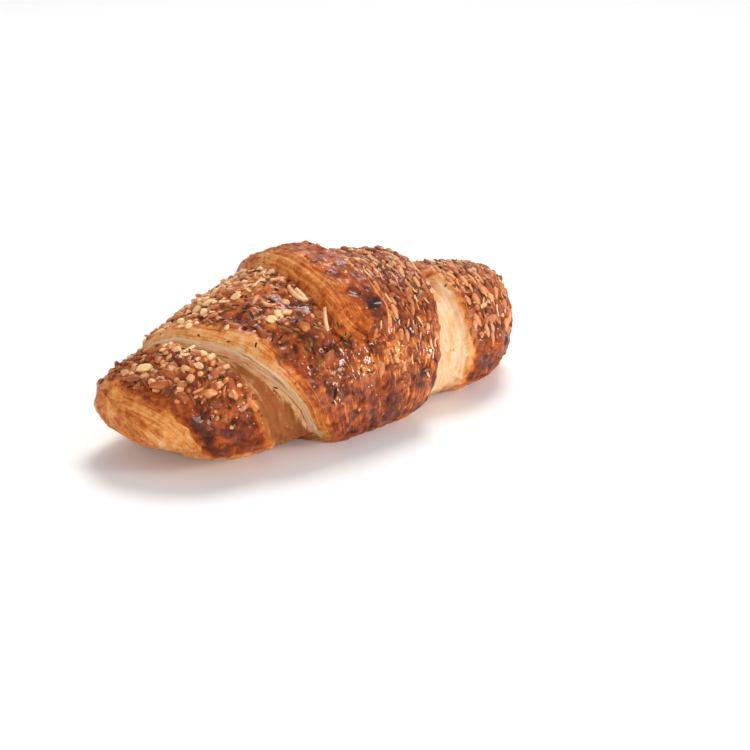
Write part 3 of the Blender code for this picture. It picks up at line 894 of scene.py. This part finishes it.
def crust_under(x, turn):
    """The point and the evened-out normal of the outermost dough at a place on the roll."""
    outside = Vector(section(np.array(x), np.array(turn), 30.0 * MM))
    inwards = (Vector(on_spine(x, 0.5 * ROLL_TOP)) - outside).normalized()
    nearest = None
    for name in ("core", "outer_turn", "middle_wrap", "tongue"):
        hit, point, normal, _ = bpy.data.objects[name].ray_cast(outside, inwards)
        if hit and (nearest is None or (point - outside).length < nearest[0]):
            nearest = ((point - outside).length, point, (normal - EVENING * inwards).normalized())
    return nearest[1:]


def regions(x, turn):
    """Which stretch of the crust each place lies on."""
    over_tongue = np.abs(x - tongue_middle(turn)) < tongue_half_width(turn) + 0.8 * MM
    bounds = (
        ((turn > TONGUE_START) & (turn < TONGUE_END) & over_tongue, "tongue"),
        (x < core_edge(turn, LEFT) + 1.5 * MM, "left_core"),
        (x < gap_edge(turn, LEFT) - 0.5 * MM, "left_end"),
        (x < wrap_edge(turn, LEFT) + 4.5 * MM, "left_gap"),
        (x > core_edge(turn, RIGHT) - 1.5 * MM, "right_core"),
        (x > gap_edge(turn, RIGHT) + 0.5 * MM, "right_end"),
        (x > wrap_edge(turn, RIGHT) - 1.5 * MM, "right_gap"),
        (x < tongue_middle(turn), "left_wrap"),
    )
    return np.select([inside for inside, _ in bounds], [name for _, name in bounds], "right_wrap")


def taken_apart(model):
    """A model's points and faces, to copy it from. The model itself goes."""
    points = np.array([tuple(vertex.co) for vertex in model.data.vertices])
    faces = [tuple(face.vertices) for face in model.data.polygons]
    bpy.data.objects.remove(model)
    return points, faces


def model_kernel(name, seed):
    """One kernel: a pointed egg with a shallow crease along it."""
    lengthwise = (0.0, math.pi / 2, 0.0)
    ball = bpy.ops.mesh.primitive_uv_sphere_add
    kernel = added(name, ball, segments=10, ring_count=8, radius=0.5, rotation=lengthwise)
    bpy.ops.object.transform_apply(location=False, rotation=True, scale=True)
    edit_all(roughening(0.03, 1.0, seed))
    bend = 0.10 if seed % 2 else -0.10
    for vertex in kernel.data.vertices:
        along = vertex.co.x
        vertex.co.y *= 1.0 - 0.5 * along
        vertex.co.z *= 1.0 - 0.25 * along
        vertex.co.y += bend * (0.25 - along * along)
        if vertex.co.z > 0.2:
            vertex.co.z -= 0.12 * (1.0 - min(1.0, abs(vertex.co.y) * 4.0))
    return taken_apart(kernel)


def model_nib(name, seed):
    """One nib of chopped nut: a rounded chip with broken faces."""
    nib = added(name, bpy.ops.mesh.primitive_ico_sphere_add, subdivisions=2, radius=0.5)
    draw = random.Random(seed + 60)
    breaks = []
    for _ in range(3):
        way = Vector((draw.uniform(-1.0, 1.0), draw.uniform(-1.0, 1.0), draw.uniform(-0.3, 0.5))).normalized()
        place = way * draw.uniform(0.26, 0.40)
        cut = {"plane_co": place, "plane_no": way, "use_fill": True, "clear_outer": True}
        breaks.append((bpy.ops.mesh.bisect, cut))
    edit_all(*breaks, merging(0.07), roughening(0.06, 0.6, seed), facing_out())
    return taken_apart(nib)


def model_shred(name, seed):
    """One shred: a thin strip that curls as it browns."""
    shred = added(name, bpy.ops.mesh.primitive_cube_add, size=1.0)
    edit_all((bpy.ops.mesh.subdivide, {"number_cuts": 3}))
    draw = random.Random(seed + 20)
    sweep, curl, pinch = draw.uniform(-0.9, 0.9), draw.uniform(-0.5, 0.9), draw.uniform(0.2, 0.8)
    for vertex in shred.data.vertices:
        x, y, z = vertex.co
        y *= (1.0 - 0.35 * (2.0 * z) ** 2) * (1.0 - pinch * (2.0 * x) ** 2 * 0.8)
        z *= 1.0 - 0.5 * (2.0 * y) ** 2
        vertex.co = (x, y + sweep * x * x * 1.5, z + curl * x * x * 1.6)
    edit_all(roughening(0.05, 0.5, seed))
    return taken_apart(shred)


def model_flake(name, seed):
    """One flake of herb: a thin, curled, torn leaf."""
    flake = added(name, bpy.ops.mesh.primitive_grid_add, x_subdivisions=5, y_subdivisions=3, size=1.0)
    draw = random.Random(seed)
    curl, twist = draw.uniform(0.5, 1.3), draw.uniform(-0.7, 0.7)
    for vertex in flake.data.vertices:
        x, y = vertex.co.x, vertex.co.y
        y *= 1.0 - 1.1 * x * x + draw.uniform(-0.12, 0.12)
        vertex.co = (x, y, curl * y * y * 1.6 + twist * x * y + 0.3 * x * x)
    thick = flake.modifiers.new("thickness", "SOLIDIFY")
    thick.thickness = 0.16
    bpy.ops.object.modifier_apply(modifier=thick.name)
    edit_all(facing_out())
    return taken_apart(flake)


def model_crumb(name, seed):
    """One crumb: a rough lump."""
    crumb = added(name, bpy.ops.mesh.primitive_ico_sphere_add, subdivisions=1, radius=0.5)
    edit_all(roughening(0.16, 0.6, seed))
    return taken_apart(crumb)


def lying(point, normal, direction, size, sunk, tilt=0.0):
    """The matrix that lays a model of unit size on the crust, its length along a direction."""
    along = (direction - normal * direction.dot(normal)).normalized()
    across = normal.cross(along)
    turn = Matrix((along, across, normal)).transposed().to_4x4()
    lean = Matrix.Rotation(tilt, 4, "Y")
    stretch = Matrix.Diagonal((*size, 1.0))
    return Matrix.Translation(point - normal * sunk) @ turn @ lean @ stretch


def join_copies(name, models, laid, smoothing):
    """One mesh of many copies. Each entry of laid is a model's number, a matrix and a tint."""
    points, faces, tints = [], [], []
    count = 0
    for number, matrix, tint in laid:
        own_points, own_faces = models[number % len(models)]
        moved = own_points @ np.array(matrix.to_3x3()).T + np.array(matrix.translation)
        if moved[:, 2].min() < 0.4 * MM:
            continue
        points.append(moved)
        faces.extend(tuple(corner + count for corner in face) for face in own_faces)
        tints.append(np.full(len(own_points), tint))
        count += len(own_points)
    mesh = bpy.data.meshes.new(name)
    mesh.from_pydata(np.concatenate(points).tolist(), [], faces)
    layer = mesh.attributes.new("tint", "FLOAT", "POINT")
    layer.data.foreach_set("value", np.concatenate(tints).astype(np.float32))
    piece = bpy.data.objects.new(name, mesh)
    bpy.context.scene.collection.objects.link(piece)
    deselect()
    bpy.context.view_layer.objects.active = piece
    piece.select_set(True)
    bpy.ops.object.shade_smooth_by_angle(angle=math.radians(smoothing))
    return piece


class Claims:
    """The places on the crust that are taken."""

    def __init__(self):
        self.places = np.empty((0, 3))

    def free(self, place, spacing):
        return ((self.places - place) ** 2).sum(axis=1).min(initial=math.inf) >= spacing * spacing

    def take(self, place):
        self.places = np.vstack([self.places, place])


def at_yaw(normal, yaw):
    """A direction on the crust, turned from the way round the roll, which is down at the front."""
    around = normal.cross(Vector((-1.0, 0.0, 0.0))).normalized()
    return around * math.cos(yaw) + normal.cross(around) * math.sin(yaw)


def thickness(spread, region, turn):
    """How thickly a kind of topping lies at each place, from 0 to 1."""
    value = np.select([region == name for name in spread.share], list(spread.share.values()), 0.0)
    value = value * (1.0 - smooth(*spread.sides, np.abs(turn)))
    for name, (less, low, high) in spread.thinner.items():
        value = value * np.where(region == name, 1.0 - less * smooth(low, high, turn), 1.0)
    return value


def draw_places(kind, count, claims):
    """Seeded places on the crust for one kind of topping, clear of those already taken."""
    spread = SPREADS[kind]
    draw = np.random.default_rng(spread.seed)
    x = draw.uniform(-1.0, 1.0, TRIES) * (HALF_LENGTH - 2.0 * MM)
    turn = draw.uniform(-STREWN_TO, STREWN_TO, TRIES)
    yaw, size, tint = draw.uniform(-1.0, 1.0, TRIES), draw.random(TRIES), draw.random(TRIES)
    region = regions(x, turn)
    wanted = draw.random(TRIES) < thickness(spread, region, turn) * fullness(x) ** 0.35
    found = []
    for index in np.flatnonzero(wanted):
        if len(found) == count:
            break
        point, normal = crust_under(x[index], turn[index])
        if claims.free(point, spread.room):
            claims.take(point)
            found.append((len(found), region[index], point, normal, yaw[index], size[index], tint[index]))
    return found


def golden_at(region, point):
    """How much more golden strewn things are on the left part's top, or less so on the right."""
    if region in ON_THE_LEFT and point.z > GOLDEN_ABOVE:
        return 0.45
    return -0.08 if region in ON_THE_RIGHT else 0.0


def lay_front(places, sunk, claims):
    """The toppings that stand out in front, each at its own place."""
    laid = []
    for index, (x, turn, length, width, height, yaw, tint) in enumerate(places):
        point, normal = crust_under(x * MM, turn)
        claims.take(point)
        size = (length * MM, width * MM, height * MM)
        laid.append((index, lying(point, normal, at_yaw(normal, yaw), size, sunk), tint))
    return laid


def lay_kernels(topping, claims):
    """The pale and the browned kernels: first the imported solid's own, then more of the rest."""
    pale, browned = [], []
    for index, (x, turn, _, yaw, roundness) in enumerate(kernel_places()):
        point, normal = crust_under(x, turn)
        claims.take(point)
        spun = normal.to_track_quat("Z", "Y").to_matrix() @ Matrix.Rotation(yaw, 3, "Z")
        length = mixed(*reversed(KERNEL_LENGTH), index / KERNEL_COUNT)
        shape = (length, mixed(*KERNEL_WIDTH, roundness), KERNEL_THICKNESS)
        matrix = lying(point, normal, spun @ Vector((1.0, 0.0, 0.0)), shape, KERNEL_SUNK)
        lighter = 0.22 if x > gap_edge(turn, RIGHT) else 0.45 * (x < -8.0 * MM and turn < 12.0)
        (pale if index % 17 == 3 else browned).append((index, matrix, 0.6 * roundness + lighter))
    for index, region, point, normal, yaw, size, tint in draw_places("kernels", topping.kernels, claims):
        spread = 0.5 if region in ON_THE_RIGHT else 1.6
        shape = (mixed(3.8 * MM, topping.kernel_length, size), mixed(1.7 * MM, 2.7 * MM, tint), 1.8 * MM)
        matrix = lying(point, normal, at_yaw(normal, yaw * spread), shape, 0.4 * MM, 0.12 * yaw)
        lighter = {"right_end": 0.20, "right_wrap": 0.12}.get(region, 0.0)
        (pale if tint > 0.96 else browned).append((index, matrix, size + lighter))
    return pale, browned


def lay_nibs(topping, claims):
    """The chopped nibs: first those that stand out in front, then the rest."""
    laid = lay_front(FRONT_NIBS, -0.3 * MM, claims)
    for index, region, point, normal, yaw, size, tint in draw_places("nibs", topping.nibs, claims):
        length = mixed(2.0 * MM, topping.nib_length, size)
        shape = (length, length * mixed(0.62, 0.92, tint), length * mixed(0.55, 0.8, size))
        matrix = lying(point, normal, at_yaw(normal, 3.1 * yaw), shape, 0.02 * length, 0.35 * yaw)
        laid.append((index, matrix, tint * 0.8 + golden_at(region, point)))
    return laid


def lay_shreds(topping, claims):
    """The browned shreds: first those that stand out in front, then the rest, as thin fibres on the right."""
    laid = lay_front(FRONT_SHREDS, -0.2 * MM, claims)
    for index, region, point, normal, yaw, size, tint in draw_places("shreds", topping.shreds, claims):
        fibre = region in ON_THE_RIGHT
        longest = topping.shred_length * (0.7 if fibre else 1.0)
        width = mixed(0.45, 0.8, tint) if fibre else mixed(0.6, 1.3, tint)
        shape = (mixed(2.4 * MM, longest, size**3), width * MM, 0.8 * MM)
        direction = at_yaw(normal, yaw * (0.7 if fibre else 2.4))
        matrix = lying(point, normal, direction, shape, 0.05 * MM, 0.3 * yaw)
        laid.append((index, matrix, 0.7 * tint + (0.3 if fibre else golden_at(region, point))))
    return laid


def lay_flakes(topping, claims):
    """The flakes of herb."""
    laid = []
    for index, _, point, normal, yaw, size, tint in draw_places("flakes", topping.flakes, claims):
        shape = (mixed(1.3 * MM, 4.0 * MM, size * size), mixed(0.35, 0.8, tint) * MM, 0.8 * MM)
        matrix = lying(point, normal, at_yaw(normal, 3.1 * yaw), shape, -0.12 * MM, 0.3 * yaw)
        laid.append((index, matrix, tint))
    return laid


def lay_crumbs(topping, claims):
    """The crumbs."""
    laid = []
    for index, _, point, normal, yaw, size, tint in draw_places("crumbs", topping.crumbs, claims):
        length = mixed(0.6 * MM, 1.7 * MM, size * size)
        shape = (length, length * mixed(0.6, 1.0, tint), length * 0.7)
        laid.append((index, lying(point, normal, at_yaw(normal, 0.0), shape, 0.0, yaw), tint))
    return laid


def place_light(name, place, size, power):
    """A soft area light at a place, turned to the croissant."""
    data = bpy.data.lights.new(name, "AREA")
    data.shape = "RECTANGLE"
    data.size, data.size_y = size
    data.energy = power
    light = bpy.data.objects.new(name, data)
    light.location = place
    light.rotation_euler = (LIT_POINT - light.location).to_track_quat("-Z", "Y").to_euler()
    bpy.context.scene.collection.objects.link(light)


def colour_setting(name, description, value):
    return bpy.props.FloatVectorProperty(name=name, description=description, subtype="COLOR", default=value)


def count_setting(name, description, value):
    return bpy.props.IntProperty(name=name, description=description, min=0, default=value)


def length_setting(name, description, value):
    return bpy.props.FloatProperty(name=name, description=description, unit="LENGTH", default=value)


def share_setting(name, description, value, most):
    return bpy.props.FloatProperty(
        name=name, description=description, subtype="FACTOR", min=0.0, soft_max=most, default=value
    )


def angle_setting(name, description, value):
    value = math.radians(value)
    return bpy.props.FloatProperty(name=name, description=description, subtype="ANGLE", default=value)


class CroissantCrust(bpy.types.PropertyGroup):
    """Colours and glaze of the baked dough."""

    cream: colour_setting("Cream", "Torn dough that stayed pale", (0.77, 0.57, 0.40))
    tan: colour_setting("Tan", "Dough that began to colour", (0.77, 0.43, 0.19))
    # Partly painted shade: the left gap's middle, under the overhanging wrap, takes this colour.
    toffee_and_shade: colour_setting("Toffee", "Torn dough that browned a little", (0.30, 0.100, 0.026))
    gold: colour_setting("Gold", "Lightly baked layers", (0.70, 0.285, 0.070))
    orange: colour_setting("Orange", "Well baked layers", (0.55, 0.145, 0.025))
    russet: colour_setting("Russet", "Browned crust", (0.33, 0.062, 0.011))
    dark: colour_setting("Dark", "Darkly browned crust", (0.14, 0.026, 0.007))
    burnt: colour_setting("Burnt", "Burnt spots", (0.03, 0.010, 0.006))
    glaze: share_setting("Glaze", "How glossy the egg glaze is", 0.45, 1.0)


class CroissantTopping(bpy.types.PropertyGroup):
    """What is strewn on the crust."""

    kernels: count_setting("Kernels", "Long kernels besides the packed solid's own", 300)
    kernel_length: length_setting("Kernel length", "Length of the longest kernels", 6.6 * MM)
    nibs: count_setting("Nibs", "Chopped nibs", 360)
    nib_length: length_setting("Nib length", "Length of the largest nibs", 3.8 * MM)
    shreds: count_setting("Shreds", "Browned shreds", 360)
    shred_length: length_setting("Shred length", "Length of the longest shreds", 7.0 * MM)
    flakes: count_setting("Flakes", "Flakes of herb", 300)
    crumbs: count_setting("Crumbs", "Crumbs on the crust", 900)
    kernel_colour: colour_setting("Kernel", "Kernels browned in the oven", (0.36, 0.088, 0.023))
    pale_kernel_colour: colour_setting("Pale kernel", "Kernels that stayed pale", (0.80, 0.50, 0.20))
    nib_colour: colour_setting("Nib", "Chopped nibs", (0.52, 0.160, 0.040))
    shred_colour: colour_setting("Shred", "Browned shreds", (0.58, 0.23, 0.067))
    herb_colour: colour_setting("Herb", "Flakes of herb", (0.10, 0.045, 0.015))
    crumb_colour: colour_setting("Crumb", "Crumbs", (0.42, 0.12, 0.026))


class CroissantStage(bpy.types.PropertyGroup):
    """The floor, the lights and the camera."""

    distance: length_setting("Distance", "From the camera to its aim", 0.564)
    azimuth: angle_setting("Azimuth", "How far round to the right the camera stands", -36.5)
    elevation: angle_setting("Elevation", "How high the camera stands", 19.9)
    light: share_setting("Light", "Strength of all lights together", 1.0, 2.0)


class CROISSANT_OT_core(bpy.types.Operator):
    """Make the core of the roll"""

    bl_idname = "croissant.core"
    bl_label = "Core"

    def execute(self, context):
        make_core(context.scene.croissant_crust)
        return {"FINISHED"}


class CROISSANT_OT_outer_turn(bpy.types.Operator):
    """Make the outer turn with its pale gaps"""

    bl_idname = "croissant.outer_turn"
    bl_label = "Outer turn"

    def execute(self, context):
        make_outer_turn(context.scene.croissant_crust)
        return {"FINISHED"}


class CROISSANT_OT_middle_wrap(bpy.types.Operator):
    """Make the middle wrap with its cut edges"""

    bl_idname = "croissant.middle_wrap"
    bl_label = "Middle wrap"

    def execute(self, context):
        make_middle_wrap(context.scene.croissant_crust)
        return {"FINISHED"}


class CROISSANT_OT_tongue(bpy.types.Operator):
    """Make the tongue that comes over the top"""

    bl_idname = "croissant.tongue"
    bl_label = "Tongue"

    def execute(self, context):
        make_tongue(context.scene.croissant_crust)
        return {"FINISHED"}


class CROISSANT_OT_toppings(bpy.types.Operator):
    """Strew kernels, nibs, shreds, flakes of herb and crumbs on the crust"""

    bl_idname = "croissant.toppings"
    bl_label = "Toppings"

    def execute(self, context):
        topping = context.scene.croissant_topping
        context.view_layer.update()
        models = {}
        for kind, (make, count) in MODELS.items():
            models[kind] = [make(f"{kind}_{seed}", seed) for seed in range(count)]
        claims = Claims()
        laid = [*lay_kernels(topping, claims)]
        laid += [lay(topping, claims) for lay in (lay_nibs, lay_shreds, lay_flakes, lay_crumbs)]
        for (name, finish), own in zip(FINISHES.items(), laid):
            kind, colour, darker, lighter, middle, coat, roughness, rough_scale, smoothing = finish
            stops = toasted_stops(getattr(topping, f"{colour}_colour"), darker, lighter, middle)
            material = topping_paint(f"{name}_finish", stops, coat, roughness, rough_scale)
            hand_over(join_copies(name, models[kind], own, smoothing), material)
        return {"FINISHED"}


class CROISSANT_OT_stage(bpy.types.Operator):
    """Make the floor, the lights and the camera"""

    bl_idname = "croissant.stage"
    bl_label = "Stage"

    def execute(self, context):
        settings = context.scene.croissant_stage
        floor = added("floor", bpy.ops.mesh.primitive_plane_add, size=8.0, location=(0.0, 0.0, -0.2 * MM))
        paint = Paint("floor_white")
        paint.set(Base_Color=(0.90, 0.90, 0.90, 1.0), Roughness=0.75)
        floor.data.materials.append(paint.material)
        world = bpy.data.worlds.new("studio")
        world.use_nodes = True
        backdrop = world.node_tree.nodes["Background"]
        backdrop.inputs["Color"].default_value = (1.0, 1.0, 1.0, 1.0)
        backdrop.inputs["Strength"].default_value = SKY_STRENGTH * settings.light
        context.scene.world = world
        context.scene.view_settings.view_transform = "Standard"
        sun = bpy.data.lights.new("key_light", "SUN")
        sun.energy = SUN_STRENGTH * settings.light
        sun.angle = SUN_WIDTH
        key_light = bpy.data.objects.new("key_light", sun)
        key_light.rotation_euler = SUN_TURN
        context.scene.collection.objects.link(key_light)
        for name, (place, size, power) in SOFT_LIGHTS.items():
            place_light(name, place, size, power * settings.light)
        sine, cosine = math.sin(settings.azimuth), math.cos(settings.azimuth)
        level = math.cos(settings.elevation)
        back = Vector((sine * level, -cosine * level, math.sin(settings.elevation)))
        right = Vector((cosine, sine, 0.0))
        looked_at = CAMERA_AIM + right * AIM_RIGHT - back.cross(right) * AIM_DOWN
        data = bpy.data.cameras.new("camera")
        data.lens = LENS
        data.sensor_width = SENSOR
        data.clip_start, data.clip_end = 0.01, 20.0
        camera = bpy.data.objects.new("camera", data)
        camera.location = CAMERA_AIM + back * settings.distance
        camera.rotation_euler = (looked_at - camera.location).to_track_quat("-Z", "Y").to_euler()
        context.scene.collection.objects.link(camera)
        context.scene.camera = camera
        return {"FINISHED"}


class CROISSANT_PT_panel(bpy.types.Panel):
    """The croissant's steps, in the order in which it is made"""

    bl_idname = "CROISSANT_PT_panel"
    bl_label = "Croissant"
    bl_space_type = "VIEW_3D"
    bl_region_type = "UI"
    bl_category = "Croissant"

    def draw(self, context):
        for group, _ in SETTINGS:
            box = self.layout.box()
            settings = getattr(context.scene, group)
            for name in settings.bl_rna.properties.keys():
                if name not in ("name", "rna_type"):
                    box.prop(settings, name)
        for step in STEPS:
            self.layout.operator(step.bl_idname)


# What makes each topping's model, of unit size, and how many kinds of it there are.
MODELS = {
    "kernel": (model_kernel, 4),
    "nib": (model_nib, 6),
    "shred": (model_shred, 5),
    "flake": (model_flake, 5),
    "crumb": (model_crumb, 4),
}
SETTINGS = (
    ("croissant_crust", CroissantCrust),
    ("croissant_topping", CroissantTopping),
    ("croissant_stage", CroissantStage),
)
STEPS = (
    CROISSANT_OT_stage,
    CROISSANT_OT_core,
    CROISSANT_OT_outer_turn,
    CROISSANT_OT_middle_wrap,
    CROISSANT_OT_tongue,
    CROISSANT_OT_toppings,
)


def register():
    for _, settings in SETTINGS:
        bpy.utils.register_class(settings)
    for step in (*STEPS, CROISSANT_PT_panel):
        bpy.utils.register_class(step)
    for name, settings in SETTINGS:
        setattr(bpy.types.Scene, name, bpy.props.PointerProperty(type=settings))


def unregister():
    for name, _ in SETTINGS:
        delattr(bpy.types.Scene, name)
    for step in (CROISSANT_PT_panel, *reversed(STEPS)):
        bpy.utils.unregister_class(step)
    for _, settings in reversed(SETTINGS):
        bpy.utils.unregister_class(settings)


def main():
    register()
    bpy.ops.croissant.stage()
    bpy.ops.croissant.core()
    bpy.ops.croissant.outer_turn()
    bpy.ops.croissant.middle_wrap()
    bpy.ops.croissant.tongue()
    bpy.ops.croissant.toppings()


if __name__ == "__main__":
    main()
